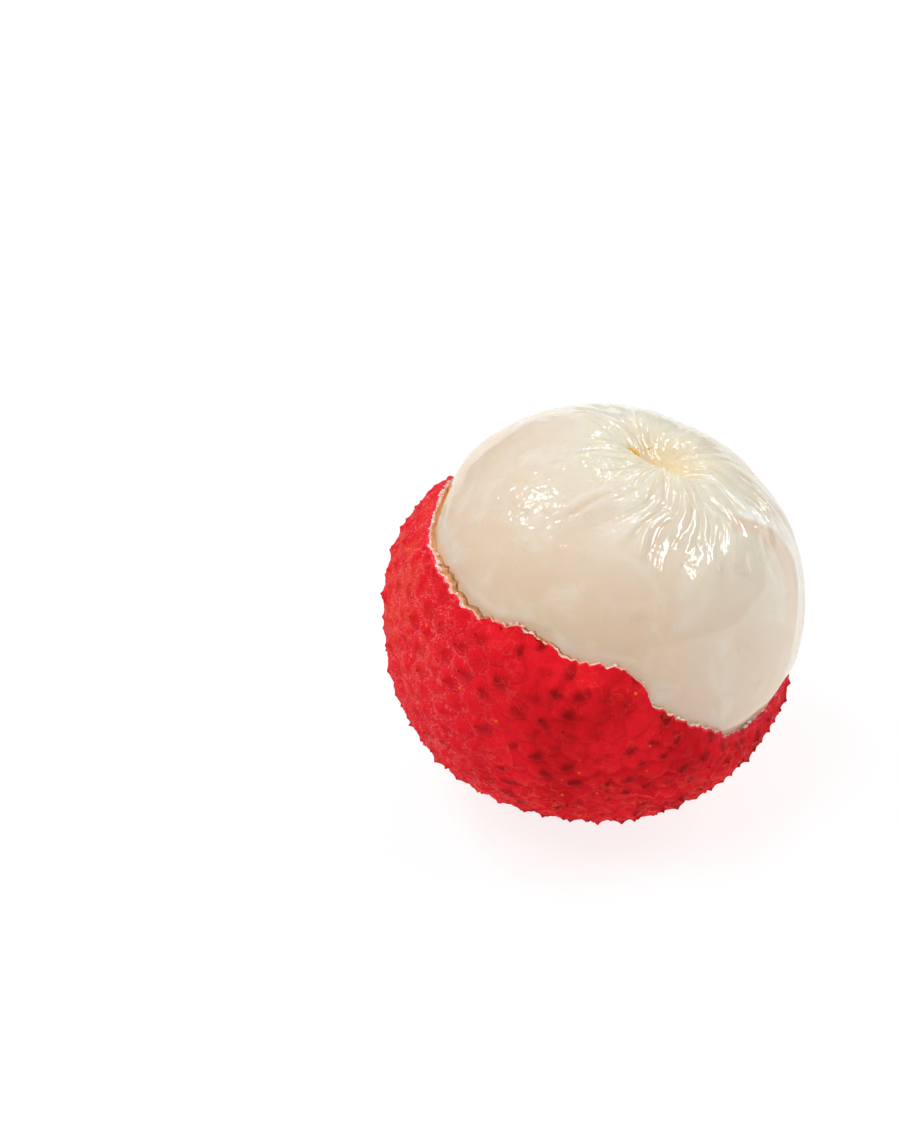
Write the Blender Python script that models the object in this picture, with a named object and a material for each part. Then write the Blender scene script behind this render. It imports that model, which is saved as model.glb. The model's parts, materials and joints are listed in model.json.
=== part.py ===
"""One half-peeled lychee, resting on its rind.

The fruit is two pieces: the flesh, a pale ball with a puckered dimple where the stalk was, and the rind, a
cup of rough skin that is torn open round the top and still holds the flesh. Metres, +Z up. The origin is
the middle of the small flat that the rind rests on.
"""

import math
import random

import bmesh
import bpy
import numpy as np
from mathutils import Matrix, Vector, noise

MM = 0.001
FRONT = Vector((0, -0.82, 0.57))  # bearings round any axis start from this side

# Rind
TIP_RADIUS = 18.95 * MM  # fruit centre to the points of the skin
TIP_PITCH = 2.3 * MM  # mean distance between neighbouring points
TIP_SCATTER = 0.42  # how far a point first strays from even spacing, as a share of the pitch
SPREADING_STEPS = 12  # how often crowded points then push each other apart
TIP_VARIATION = 0.3 * MM  # some points stand a little lower than others
SEAM_DEPTH = (0.58 * MM, 0.8 * MM)  # halfway between two points
HOLLOW_DEPTH = (0.75 * MM, 0.92 * MM)  # in the middle of three points
INNER_RADIUS = 17.3 * MM
REST_CUT = 1.0 * MM  # how far above the lowest point the skin is pressed flat
UNEVENNESS = 0.14 * MM  # slow swells that keep the ball from being a perfect one
SEED = 11

# Broad swellings: the way they face, how far they reach in degrees, and their height
RIND_SWELLINGS = [
    (Vector((-0.71, -0.41, -0.58)), 38, 0.25 * MM),
    (Vector((0.64, -0.44, -0.63)), 38, 0.25 * MM),
    (Vector((0.97, -0.15, -0.21)), 30, -0.3 * MM),
    (Vector((-0.17, -0.57, -0.81)), 26, -0.25 * MM),
    (Vector((-0.67, 0.43, 0.61)), 42, -1.1 * MM),
    (Vector((-1.0, 0.04, 0.02)), 28, -0.25 * MM),
]
CAVITY_SWELLINGS = [(Vector((0.985, -0.07, -0.15)), 36, 0.35 * MM)]
FLESH_SWELLINGS = [
    (Vector((-0.3, 0.55, 0.78)), 36, 0.15 * MM),
    (Vector((0.94, 0.19, 0.28)), 30, 0.15 * MM),
    (Vector((0.1, -0.97, 0.25)), 40, -0.35 * MM),
    (Vector((0.53, -0.84, -0.08)), 36, -0.55 * MM),
]

# Tear: the rind is gone above this line. Each bearing turns round the tear's axis, and its drop is the
# angle from the axis down to the line.
TEAR_AXIS = Vector((0.412, 0.154, 0.899)).normalized()
TEAR_LINE = [
    (-80, 75), (-60, 83), (-35, 87), (-12, 81), (-4, 83), (14, 79), (28, 87), (42, 90), (58, 93),
    (70, 90), (79, 84), (92, 80), (112, 80), (130, 75), (150, 80), (172, 76), (190, 82), (210, 78),
    (228, 84), (248, 86), (262, 75),
]  # fmt: skip
TEAR_STEPS = 120
TEAR_RAGGEDNESS = 0.9  # degrees

# Flesh
STEM_AXIS = Vector((0.3, -0.03, 0.953)).normalized()
FLESH_RADIUS = 17.5 * MM
FLESH_SHIFT = Vector((0.9, 0.3, 0.5)) * MM  # its middle, from the rind's
FLESH_GAP = 0.3 * MM  # to the rind, where it is held
RELEASE = (4.0, 7.0)  # degrees above the tear to swell free of the rind, and more per millimetre of swelling
CROWN_DIP = (0.6 * MM, 8.5 * MM)  # depth and reach of the broad sag round the stem axis
DIMPLE_DEPTH = 2.5 * MM
DIMPLE_LENGTH = 3.3 * MM
DIMPLE_WIDTHS = (1.55 * MM, 3.0 * MM)  # its steep near side and its easy far side
DIMPLE_BEARING = 84.0  # which way its long side runs, in degrees
PUCKER_HEIGHT = 0.16 * MM
PUCKER_REACH = (3.0 * MM, 9.0 * MM)  # full height here, and gone by there
PUCKERS = (11, 17)  # folds round the dimple, in two overlaid sets
FLESH_SEGMENTS = 68
FLESH_RINGS = 28
RING_CROWDING = 1.45  # rings lie closer together towards the dimple

CENTRE = Vector((0, 0, TIP_RADIUS - REST_CUT))


def clear_scene():
    for obj in list(bpy.data.objects):
        bpy.data.objects.remove(obj, do_unlink=True)


def material(name, colour, roughness, subsurface=0.0):
    made = bpy.data.materials.new(name)
    made.use_nodes = True
    shader = made.node_tree.nodes["Principled BSDF"]
    shader.inputs["Base Color"].default_value = (*colour, 1)
    shader.inputs["Roughness"].default_value = roughness
    shader.inputs["Metallic"].default_value = 0
    shader.inputs["Subsurface Weight"].default_value = subsurface
    return made


def new_object(name, bm, finish=None):
    mesh = bpy.data.meshes.new(name)
    bm.to_mesh(mesh)
    bm.free()
    obj = bpy.data.objects.new(name, mesh)
    bpy.context.scene.collection.objects.link(obj)
    if finish:
        mesh.materials.append(finish)
    return obj


def axis_frame(axis):
    """(ahead, side, axis): FRONT turned square to the axis, then the way that bearings grow from it."""
    ahead = (FRONT - axis * FRONT.dot(axis)).normalized()
    return ahead, axis.cross(ahead), axis


def smooth_step(low, high, value):
    share = min(1.0, max(0.0, (value - low) / (high - low)))
    return share * share * (3 - 2 * share)


def swelling(direction, swellings):
    return sum(
        height * (1 - smooth_step(0, reach, math.degrees(direction.angle(facing))))
        for facing, reach, height in swellings
    )


def skin_swelling(direction):
    """What the outside and the inside of the rind have in common, beyond a perfect ball."""
    return UNEVENNESS * noise.noise(direction * 2.2) + swelling(direction, RIND_SWELLINGS)


def inner_radius(direction):
    return INNER_RADIUS + skin_swelling(direction) + swelling(direction, CAVITY_SWELLINGS)


def tear_drop(bearing):
    """Angle from the tear's axis down to the torn edge, in degrees, at a bearing in degrees."""
    first = TEAR_LINE[0][0]
    turned = (bearing - first) % 360 + first
    line = [*TEAR_LINE, (first + 360, TEAR_LINE[0][1])]
    for (start, before), (end, after) in zip(line, line[1:]):
        if start <= turned <= end:
            return before + (after - before) * smooth_step(start, end, turned)
    return TEAR_LINE[0][1]


def height_over_tear(direction):
    """Degrees above the torn edge, positive where the flesh is bare."""
    ahead, side, axis = axis_frame(TEAR_AXIS)
    bearing = math.degrees(math.atan2(direction.dot(side), direction.dot(ahead)))
    return tear_drop(bearing) - math.degrees(direction.angle(axis))


def tip_directions():
    """Unit vectors for the skin's points: an even spiral over the ball, disturbed and then spread out again."""
    count = round(4 * math.pi * TIP_RADIUS**2 / (TIP_PITCH**2 * math.sqrt(3) / 2))
    step = np.arange(count)
    turn = step * math.pi * (3 - math.sqrt(5))
    level = 1 - (2 * step + 1) / count
    ring = np.sqrt(1 - level**2)
    tips = np.column_stack([ring * np.cos(turn), ring * np.sin(turn), level])
    pitch = TIP_PITCH / TIP_RADIUS
    stray = TIP_SCATTER * pitch
    tips += np.random.RandomState(SEED).uniform(-stray, stray, tips.shape)
    for _ in range(SPREADING_STEPS):
        tips /= np.linalg.norm(tips, axis=1, keepdims=True)
        away = tips[:, None] - tips[None]
        distance = np.linalg.norm(away, axis=2) + np.eye(count)
        push = np.clip(1 - distance / pitch, 0, None) / distance
        tips += 0.35 * pitch * (away * push[:, :, None]).sum(axis=1)
    return [Vector(tip).normalized() for tip in tips]


def rough_ball():
    """The whole skin as a closed ball of pyramids, with seams between their points and hollows at the corners."""
    draw = random.Random(SEED)
    bm = bmesh.new()
    for direction in tip_directions():
        bm.verts.new(direction)
    bmesh.ops.convex_hull(bm, input=bm.verts)
    depth = {tip: draw.uniform(0, TIP_VARIATION) for tip in bm.verts}
    for edge in list(bm.edges):
        _, seam = bmesh.utils.edge_split(edge, edge.verts[0], 0.5)
        depth[seam] = draw.uniform(*SEAM_DEPTH)
    for hollow in bmesh.ops.poke(bm, faces=bm.faces[:])["verts"]:
        depth[hollow] = draw.uniform(*HOLLOW_DEPTH)
    for vert in bm.verts:
        direction = vert.co.normalized()
        vert.co = CENTRE + direction * (TIP_RADIUS - depth[vert] + skin_swelling(direction))
    return bm


def cavity_ball():
    bm = bmesh.new()
    bmesh.ops.create_uvsphere(bm, u_segments=44, v_segments=24, radius=1)
    for vert in bm.verts:
        direction = vert.co.normalized()
        vert.co = CENTRE + direction * inner_radius(direction)
    return bm


def torn_away():
    """The solid that takes off the top of the rind: a ragged cone from the fruit's centre, with straight walls."""
    draw = random.Random(SEED)
    ahead, side, axis = axis_frame(TEAR_AXIS)
    bm = bmesh.new()
    edge_ring, roof_ring = [], []
    for step in range(TEAR_STEPS):
        bearing = 360 * step / TEAR_STEPS
        drop = math.radians(tear_drop(bearing) + draw.uniform(-TEAR_RAGGEDNESS, TEAR_RAGGEDNESS))
        outward = ahead * math.cos(math.radians(bearing)) + side * math.sin(math.radians(bearing))
        direction = outward * math.sin(drop) + axis * math.cos(drop)
        edge_ring.append(bm.verts.new(CENTRE + direction * TIP_RADIUS * 1.4))
        roof_ring.append(bm.verts.new(CENTRE + outward * TIP_RADIUS * 1.4 + axis * TIP_RADIUS * 1.5))
    middle = bm.verts.new(CENTRE)
    for step in range(TEAR_STEPS):
        after = (step + 1) % TEAR_STEPS
        bm.faces.new((middle, edge_ring[step], edge_ring[after]))
        bm.faces.new((edge_ring[step], roof_ring[step], roof_ring[after], edge_ring[after]))
    bm.faces.new(roof_ring)
    bmesh.ops.recalc_face_normals(bm, faces=bm.faces)
    return bm


def table_block():
    """What lies under the resting flat."""
    bm = bmesh.new()
    size = 4 * TIP_RADIUS
    bmesh.ops.create_cube(bm, size=size, matrix=Matrix.Translation((0, 0, -size / 2)))
    return bm


def cut(obj, name, bm):
    cutter = new_object(name, bm)
    cutter.hide_render = True
    cutter.display_type = "WIRE"
    modifier = obj.modifiers.new(name, "BOOLEAN")
    modifier.operation = "DIFFERENCE"
    modifier.solver = "EXACT"
    modifier.object = cutter


def make_rind():
    red_skin = material("lychee_rind", (0.52, 0.02, 0.03), 0.5, 0.1)
    rind = new_object("rind", rough_ball(), red_skin)
    cut(rind, "cavity", cavity_ball())
    cut(rind, "torn_away", torn_away())
    cut(rind, "table", table_block())
    return rind


def free_flesh_point(polar, bearing):
    """A point of the flesh before the rind presses on it, from the flesh's middle, with the stem along +Z."""
    out = FLESH_RADIUS * math.sin(polar)
    up = FLESH_RADIUS * math.cos(polar)
    if polar < math.pi / 2:
        turn = bearing - math.radians(DIMPLE_BEARING)
        along, across = out * math.cos(turn), -out * math.sin(turn)
        width = DIMPLE_WIDTHS[0] if across > 0 else DIMPLE_WIDTHS[1]
        up -= CROWN_DIP[0] * math.exp(-((out / CROWN_DIP[1]) ** 2))
        up -= DIMPLE_DEPTH * math.exp(-((along / DIMPLE_LENGTH) ** 2) - (across / width) ** 2)
        fade = smooth_step(0, PUCKER_REACH[0], out) * (1 - smooth_step(*PUCKER_REACH, out))
        folds = sum(math.cos(count * bearing + out / PUCKER_REACH[0]) for count in PUCKERS)
        up += PUCKER_HEIGHT * folds / len(PUCKERS) * fade
    return Vector((out * math.cos(bearing), out * math.sin(bearing), up))


def make_flesh():
    bm = bmesh.new()
    bmesh.ops.create_uvsphere(bm, u_segments=FLESH_SEGMENTS, v_segments=FLESH_RINGS, radius=1)
    upright = Matrix(axis_frame(STEM_AXIS)).transposed()
    for vert in bm.verts:
        polar = math.pi * (vert.co.angle(Vector((0, 0, 1))) / math.pi) ** RING_CROWDING
        point = upright @ free_flesh_point(polar, math.atan2(vert.co.y, vert.co.x)) + FLESH_SHIFT
        direction = point.normalized()
        free = point.length + swelling(direction, FLESH_SWELLINGS)
        held = min(free, inner_radius(direction) - FLESH_GAP)
        reach = RELEASE[0] + RELEASE[1] * min(1, (free - held) / MM)
        release = smooth_step(0, reach, height_over_tear(direction))
        vert.co = CENTRE + direction * (held + (free - held) * release)
    flesh = new_object("flesh", bm, material("lychee_flesh", (0.8, 0.7, 0.55), 0.15, 0.8))
    flesh.data.shade_smooth()
    return flesh


clear_scene()
make_rind()
make_flesh()
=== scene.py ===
import json
import math
import random

import bmesh
import bpy
import numpy as np
from mathutils import Matrix, Vector, kdtree, noise

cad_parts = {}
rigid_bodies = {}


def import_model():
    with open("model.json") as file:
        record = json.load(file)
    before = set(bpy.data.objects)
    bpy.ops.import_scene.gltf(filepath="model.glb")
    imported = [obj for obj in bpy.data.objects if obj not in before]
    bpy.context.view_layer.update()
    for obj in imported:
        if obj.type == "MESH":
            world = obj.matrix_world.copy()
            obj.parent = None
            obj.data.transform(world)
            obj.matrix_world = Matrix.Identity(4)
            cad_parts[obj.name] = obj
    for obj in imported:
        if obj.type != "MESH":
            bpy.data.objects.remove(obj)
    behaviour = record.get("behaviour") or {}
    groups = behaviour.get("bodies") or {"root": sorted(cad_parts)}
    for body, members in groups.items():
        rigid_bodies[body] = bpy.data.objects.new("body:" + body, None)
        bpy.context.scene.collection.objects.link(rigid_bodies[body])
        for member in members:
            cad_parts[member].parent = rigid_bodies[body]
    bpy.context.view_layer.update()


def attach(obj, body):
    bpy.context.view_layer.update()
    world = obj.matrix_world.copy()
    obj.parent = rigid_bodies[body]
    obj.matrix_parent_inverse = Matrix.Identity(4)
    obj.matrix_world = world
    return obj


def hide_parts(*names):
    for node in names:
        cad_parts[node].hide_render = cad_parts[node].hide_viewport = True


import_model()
mm = 0.001
front = Vector((0, -0.82, 0.57))  # bearings round any axis start from this side

# The fruit's own shape, with the same values and rules as its solids
fruit = {
    "tipRadius": 18.95 * mm,
    "tipPitch": 2.3 * mm,
    "tipScatter": 0.42,
    "spreadingSteps": 12,
    "tipVariation": 0.3 * mm,
    "seamDepth": (0.58 * mm, 0.8 * mm),
    "hollowDepth": (0.75 * mm, 0.92 * mm),
    "meanDepth": 0.5 * mm,
    "innerRadius": 17.3 * mm,
    "restCut": 1.0 * mm,
    "unevenness": 0.14 * mm,
    "seed": 11,
    "rindSwellings": [
        (Vector((-0.71, -0.41, -0.58)), 38, 0.25 * mm),
        (Vector((0.64, -0.44, -0.63)), 38, 0.25 * mm),
        (Vector((0.97, -0.15, -0.21)), 30, -0.3 * mm),
        (Vector((-0.17, -0.57, -0.81)), 26, -0.25 * mm),
        (Vector((-0.67, 0.43, 0.61)), 42, -1.1 * mm),
        (Vector((-1.0, 0.04, 0.02)), 28, -0.25 * mm),
    ],
    "cavitySwellings": [(Vector((0.985, -0.07, -0.15)), 36, 0.35 * mm)],
    "fleshSwellings": [
        (Vector((-0.3, 0.55, 0.78)), 36, 0.15 * mm),
        (Vector((0.94, 0.19, 0.28)), 30, 0.15 * mm),
        (Vector((0.1, -0.97, 0.25)), 40, -0.35 * mm),
        (Vector((0.53, -0.84, -0.08)), 36, -0.55 * mm),
    ],
    "tearAxis": Vector((0.412, 0.154, 0.899)).normalized(),
    "tearLine": [
        (-80, 75), (-60, 83), (-35, 87), (-12, 81), (-4, 83), (14, 79), (28, 87), (42, 90), (58, 93),
        (70, 90), (79, 84), (92, 80), (112, 80), (130, 75), (150, 80), (172, 76), (190, 82), (210, 78),
        (228, 84), (248, 86), (262, 75),
    ],
    "stemAxis": Vector((0.3, -0.03, 0.953)).normalized(),
    "fleshRadius": 17.5 * mm,
    "fleshShift": Vector((0.9, 0.3, 0.5)) * mm,
    "fleshGap": 0.3 * mm,
    "crownDip": (0.6 * mm, 8.5 * mm),
    "dimpleDepth": 2.5 * mm,
    "dimpleLength": 3.3 * mm,
    "dimpleNear": 1.55 * mm,
    "dimpleFar": 3.0 * mm,
    "dimpleBearing": 84.0,  # which way its long side runs
}
centre = Vector((0, 0, fruit["tipRadius"] - fruit["restCut"]))
noise.seed_set(fruit["seed"])  # without it, noise_vector changes from run to run


def axisFrame(axis):  # ahead, side, axis
    ahead = (front - axis * front.dot(axis)).normalized()
    return ahead, axis.cross(ahead), axis


def smoothStep(low, high, value):
    share = min(1.0, max(0.0, (value - low) / (high - low)))
    return share * share * (3 - 2 * share)


def band(value, start, full, thinning, gone):  # rises from start to full, and falls from thinning to gone
    return smoothStep(start, full, value) * (1 - smoothStep(thinning, gone, value))


def facingShare(bearing, side, low, high):  # 1 on the side at that bearing, and 0 away from it
    return smoothStep(low, high, math.cos(math.radians(bearing - side)))


def swelling(direction, swellings):
    return sum(
        height * (1 - smoothStep(0, reach, math.degrees(direction.angle(facing))))
        for facing, reach, height in swellings
    )


def skinSwelling(direction):
    return fruit["unevenness"] * noise.noise(direction * 2.2) + swelling(direction, fruit["rindSwellings"])


def innerRadius(direction):
    return fruit["innerRadius"] + skinSwelling(direction) + swelling(direction, fruit["cavitySwellings"])


def tearDrop(bearing):
    line = fruit["tearLine"]
    first = line[0][0]
    turned = (bearing - first) % 360 + first
    line = [*line, (first + 360, line[0][1])]
    for (start, before), (end, after) in zip(line, line[1:]):
        if start <= turned <= end:
            return before + (after - before) * smoothStep(start, end, turned)
    return line[0][1]


tearAhead, tearSide, tearAxis = axisFrame(fruit["tearAxis"])


def tearPlace(direction):  # bearing, and degrees below the tear's axis
    bearing = math.degrees(math.atan2(direction.dot(tearSide), direction.dot(tearAhead)))
    return bearing, math.degrees(direction.angle(tearAxis))


def tearDirection(bearing, drop):
    turn, down = math.radians(bearing), math.radians(drop)
    outward = tearAhead * math.cos(turn) + tearSide * math.sin(turn)
    return outward * math.sin(down) + tearAxis * math.cos(down)


def overTear(direction):
    bearing, drop = tearPlace(direction)
    return tearDrop(bearing) - drop


fleshPress = {
    "release": (-3.0, 3.0, 7.0),  # degrees over the tear: from, to, and more where it swells out far
    "waves": [(5, 0.07 * mm), (14, 0.03 * mm)],  # how close together, and how high
}


def pressedRadius(free, direction):  # held in by the skin below the tear, and swelling out over it
    held = min(free, innerRadius(direction) - fruit["fleshGap"])
    start, end, spread = fleshPress["release"]
    end += spread * min(1, (free - held) / mm)
    return held + (free - held) * smoothStep(start, end, overTear(direction))


def fleshUnevenness(direction):
    waves = sum(height * noise.noise(direction * close) for close, height in fleshPress["waves"])
    return swelling(direction, fruit["fleshSwellings"]) + waves


def plainFleshRadius(direction):  # the flesh without its folds and dimple
    shift = fruit["fleshShift"]
    along = shift.dot(direction)
    radius = along + math.sqrt(fruit["fleshRadius"] ** 2 - shift.length_squared + along**2)
    return pressedRadius(radius + fleshUnevenness(direction), direction)


def deselectAll():
    for obj in bpy.data.objects:
        obj.select_set(False)


def newPiece(name, bm):
    for face in bm.faces:
        face.smooth = True
    mesh = bpy.data.meshes.new(name)
    bm.to_mesh(mesh)
    bm.free()
    obj = bpy.data.objects.new(name, mesh)
    bpy.context.scene.collection.objects.link(obj)
    return obj


print("rind")
rindLook = {
    "cuts": 4,  # how finely each face of a point is divided
    "plate": 0.06 * mm,  # how full the low part of each point is
    "thorn": 0.07 * mm,  # how hollow its flanks are under the tip
    "groove": (0.02 * mm, 0.15),  # depth of the line between points, and its share of the way to the tip
    "leanMost": 0.2 * mm,  # how far a thorn hooks over
    "leanSeed": 5,
    "lumps": [(24, 0.075 * mm), (62, 0.028 * mm)],  # how close together, and how high
    "smootherTip": 0.6,  # the share by which the lumps fade at a tip
    "lowPoints": 0.5,  # the share by which the weakest points stand lower
    "spare": 6,  # degrees kept over the tear while the faces are still large
    "ragged": [(900, 1.5), (2700, 0.8)],  # how close together, and degrees up and down
    "evened": 8,  # rounds that smooth the steps along the edge
    "warp": 0.012,  # how much the borders of the plates wander
    "paintedShadeSide": Vector((0.75, -0.37, -0.53)).normalized(),  # painted shade lies on this side of the points, away from the light
    "paintedShadeShift": 0.62 * mm,
    "paintedShadeReach": (0.8 * mm, 1.3 * mm),
    "paintedShadeBend": 0.014,  # how much the outlines of the blots wander
    "paintedShadeSeed": 8,
    # sides of the fruit: the bearing, and the cosines between which its share goes from 0 to 1
    "frontSide": (20, 0.3, 0.8),
    "leftSide": (-65, -0.1, 0.7),
    "rightSide": (95, 0.4, 0.95),
    "tornSide": (95, 0.5, 0.95),  # here the tear's colour runs on over the skin
    "tornSkin": (0.7, -3.0, -0.8, 1.2),  # how strongly, degrees over the tear from and to, and how ragged
    # across the torn edge: share of the way inwards, rise in millimetres, share of the creep up the flesh
    "edgeRows": [
        (0.14, 0.07, 0), (0.28, 0.13, 0), (0.44, 0.15, 0), (0.6, 0.13, 0.03),
        (0.76, 0.09, 0.1), (0.88, 0.05, 0.24), (0.96, 0.02, 0.5), (1.0, 0, 1.0),
    ],
    "creep": (0.12 * mm, 0.35 * mm, 0.15 * mm),  # in general, and how much more on the left and on the right
    "creepUneven": 1.2,
    "whiteFrom": (0.2, 0.55),  # share of the wall where the white pith starts, on the left and on the right
    "whiteTo": (0.5, 0.8),
    "whiteUneven": 0.25,
    "lip": -0.04 * mm,  # the edge just sinks into the flesh
    "leftRelief": 0.85,  # the points stand out less on the left
    # how much thinner the edge is at the back and in front, and over how many degrees
    "thinned": (0.25, 0.75, 6.0),
    "edgeCrumbs": 0.13 * mm,
    "looseCrumbs": 480,
    "crumbSize": (0.06 * mm, 0.24 * mm),
    "crumbSeed": 21,
    "liningRows": [2.5, 11.0, 32.0, 60.0, 80.0],  # how far down each one lies, of 90
    "liningEnd": 178,  # degrees from the tear's axis, where 90 would be
}


def tipDirections():
    tipRadius, tipPitch = fruit["tipRadius"], fruit["tipPitch"]
    count = round(4 * math.pi * tipRadius**2 / (tipPitch**2 * math.sqrt(3) / 2))
    step = np.arange(count)
    turn = step * math.pi * (3 - math.sqrt(5))
    level = 1 - (2 * step + 1) / count
    ring = np.sqrt(1 - level**2)
    tips = np.column_stack([ring * np.cos(turn), ring * np.sin(turn), level])
    pitch = tipPitch / tipRadius
    stray = fruit["tipScatter"] * pitch
    tips += np.random.RandomState(fruit["seed"]).uniform(-stray, stray, tips.shape)
    for _ in range(fruit["spreadingSteps"]):
        tips /= np.linalg.norm(tips, axis=1, keepdims=True)
        away = tips[:, None] - tips[None]
        distance = np.linalg.norm(away, axis=2) + np.eye(count)
        push = np.clip(1 - distance / pitch, 0, None) / distance
        tips += 0.35 * pitch * (away * push[:, :, None]).sum(axis=1)
    return [Vector(tip).normalized() for tip in tips]


def tearOff(bm, spare):
    gone = [face for face in bm.faces if overTear(face.calc_center_median()) > spare]
    bmesh.ops.delete(bm, geom=gone, context="FACES")


def roughCup():  # the points of the skin, without what was torn away
    draw = random.Random(fruit["seed"])
    own = random.Random(rindLook["leanSeed"])
    bm = bmesh.new()
    depth = bm.verts.layers.float.new("depth")
    toTip = bm.verts.layers.float.new("toTip")
    tone = bm.verts.layers.float.new("tone")
    lean = bm.verts.layers.float_vector.new("lean")
    for name in ("pith", "paintedShade", "membraneAndGlow", "torn"):
        bm.verts.layers.float.new(name)
    for direction in tipDirections():
        bm.verts.new(direction)
    bmesh.ops.convex_hull(bm, input=bm.verts)
    tips = list(bm.verts)
    depths = {tip: draw.uniform(0, fruit["tipVariation"]) for tip in tips}
    for edge in list(bm.edges):
        _, seam = bmesh.utils.edge_split(edge, edge.verts[0], 0.5)
        depths[seam] = draw.uniform(*fruit["seamDepth"])
    for hollow in bmesh.ops.poke(bm, faces=bm.faces[:])["verts"]:
        depths[hollow] = draw.uniform(*fruit["hollowDepth"])
    for vert, value in depths.items():
        vert[depth] = value
        vert[tone] = 0.5
    for tip in tips:
        across = Vector((own.uniform(-1, 1), own.uniform(-1, 1), own.uniform(-1, 0.3)))
        tip[toTip] = 1
        tip[tone] = own.random()
        tip[lean] = across.normalized() * rindLook["leanMost"] * own.random() ** 2
    tearOff(bm, rindLook["spare"])
    bmesh.ops.subdivide_edges(bm, edges=bm.edges[:], cuts=rindLook["cuts"], use_grid_fill=True)
    tearOff(bm, 0)
    return bm


def paintedShadeTree():  # soft patches of painted shade, each a little to one side of a point
    draw = random.Random(rindLook["paintedShadeSeed"])
    side, shift = rindLook["paintedShadeSide"], rindLook["paintedShadeShift"] / fruit["tipRadius"]
    tips = tipDirections()
    tree = kdtree.KDTree(len(tips))
    for index, tip in enumerate(tips):
        aside = (side - tip * side.dot(tip)) * shift * draw.uniform(0.7, 1.2)
        tree.insert((tip + aside).normalized(), index)
    tree.balance()
    reach = rindLook["paintedShadeReach"]
    return tree, [(draw.uniform(*reach), smoothStep(0.1, 0.75, draw.random())) for _ in tips]


def edgeThinning(direction):
    behind, ahead, reach = rindLook["thinned"]
    bearing, drop = tearPlace(direction)
    share = behind + (ahead - behind) * facingShare(bearing, *rindLook["frontSide"])
    return share * smoothStep(-reach, 0.5, tearDrop(bearing) - drop)


def placeSkin(bm):
    layers = bm.verts.layers
    depth, toTip, lean = layers.float["depth"], layers.float["toTip"], layers.float_vector["lean"]
    tone, paintedShade, torn = layers.float["tone"], layers.float["paintedShade"], layers.float["torn"]
    tree, paintedShades = paintedShadeTree()
    facing = []
    for vert in bm.verts:
        direction = vert.co.normalized()
        direction = (direction + rindLook["warp"] * noise.noise_vector(direction * 14)).normalized()
        facing.append(direction)
        relief = 1 - (1 - rindLook["leftRelief"]) * smoothStep(0.2, 0.85, -direction.x)
        relief *= 1 - rindLook["lowPoints"] * vert[toTip] * (1 - vert[tone])
        deep = fruit["meanDepth"] + (vert[depth] - fruit["meanDepth"]) * relief
        radius = fruit["tipRadius"] - deep + skinSwelling(direction)
        vert.co = direction * (radius - edgeThinning(direction) * (radius - innerRadius(direction)))
    tinted, tornStart, tornEnd, ragged = rindLook["tornSkin"]
    grooveDepth, grooveWidth = rindLook["groove"]
    for vert, direction in zip(bm.verts, facing):
        near = vert[toTip]
        bent = direction + rindLook["paintedShadeBend"] * noise.noise_vector(direction * 20)
        for _, index, distance in tree.find_n(bent, 3):
            reach, strength = paintedShades[index]
            share = 1 - smoothStep(0, reach, distance * fruit["tipRadius"])
            vert[paintedShade] = max(vert[paintedShade], share * strength)
        bearing, drop = tearPlace(direction)
        rightward = facingShare(bearing, *rindLook["tornSide"])
        over = tearDrop(bearing) - drop + ragged * noise.noise(direction * 40)
        vert[torn] = tinted * rightward * smoothStep(tornStart, tornEnd, over)
        profile = rindLook["plate"] * math.sin(2 * math.pi * near)
        profile -= rindLook["thorn"] * math.sin(math.pi * near)
        profile -= grooveDepth * max(0, 1 - near / grooveWidth)
        lumps = sum(height * noise.noise(direction * close) for close, height in rindLook["lumps"])
        lumps *= 1 - rindLook["smootherTip"] * near
        vert.co += direction * (profile + lumps) + Vector(vert[lean]) * near**3


def setEdge(bm):  # evens out the steps along the edge and brings it near the line of the tear
    beside = {}
    for edge in bm.edges:
        if edge.is_boundary:
            for vert in edge.verts:
                beside.setdefault(vert, []).append(edge.other_vert(vert))
    for _ in range(rindLook["evened"]):
        middles = {}
        for vert, others in beside.items():
            middles[vert] = sum((other.co for other in others), Vector()) / len(others)
        for vert, middle in middles.items():
            vert.co = (vert.co + middle).normalized() * vert.co.length
    for vert in beside:
        bearing, _ = tearPlace(vert.co)
        line = tearDrop(bearing)
        for close, height in rindLook["ragged"]:
            line += height * noise.noise(vert.co * close)
        vert.co = tearDirection(bearing, line) * vert.co.length


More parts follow.
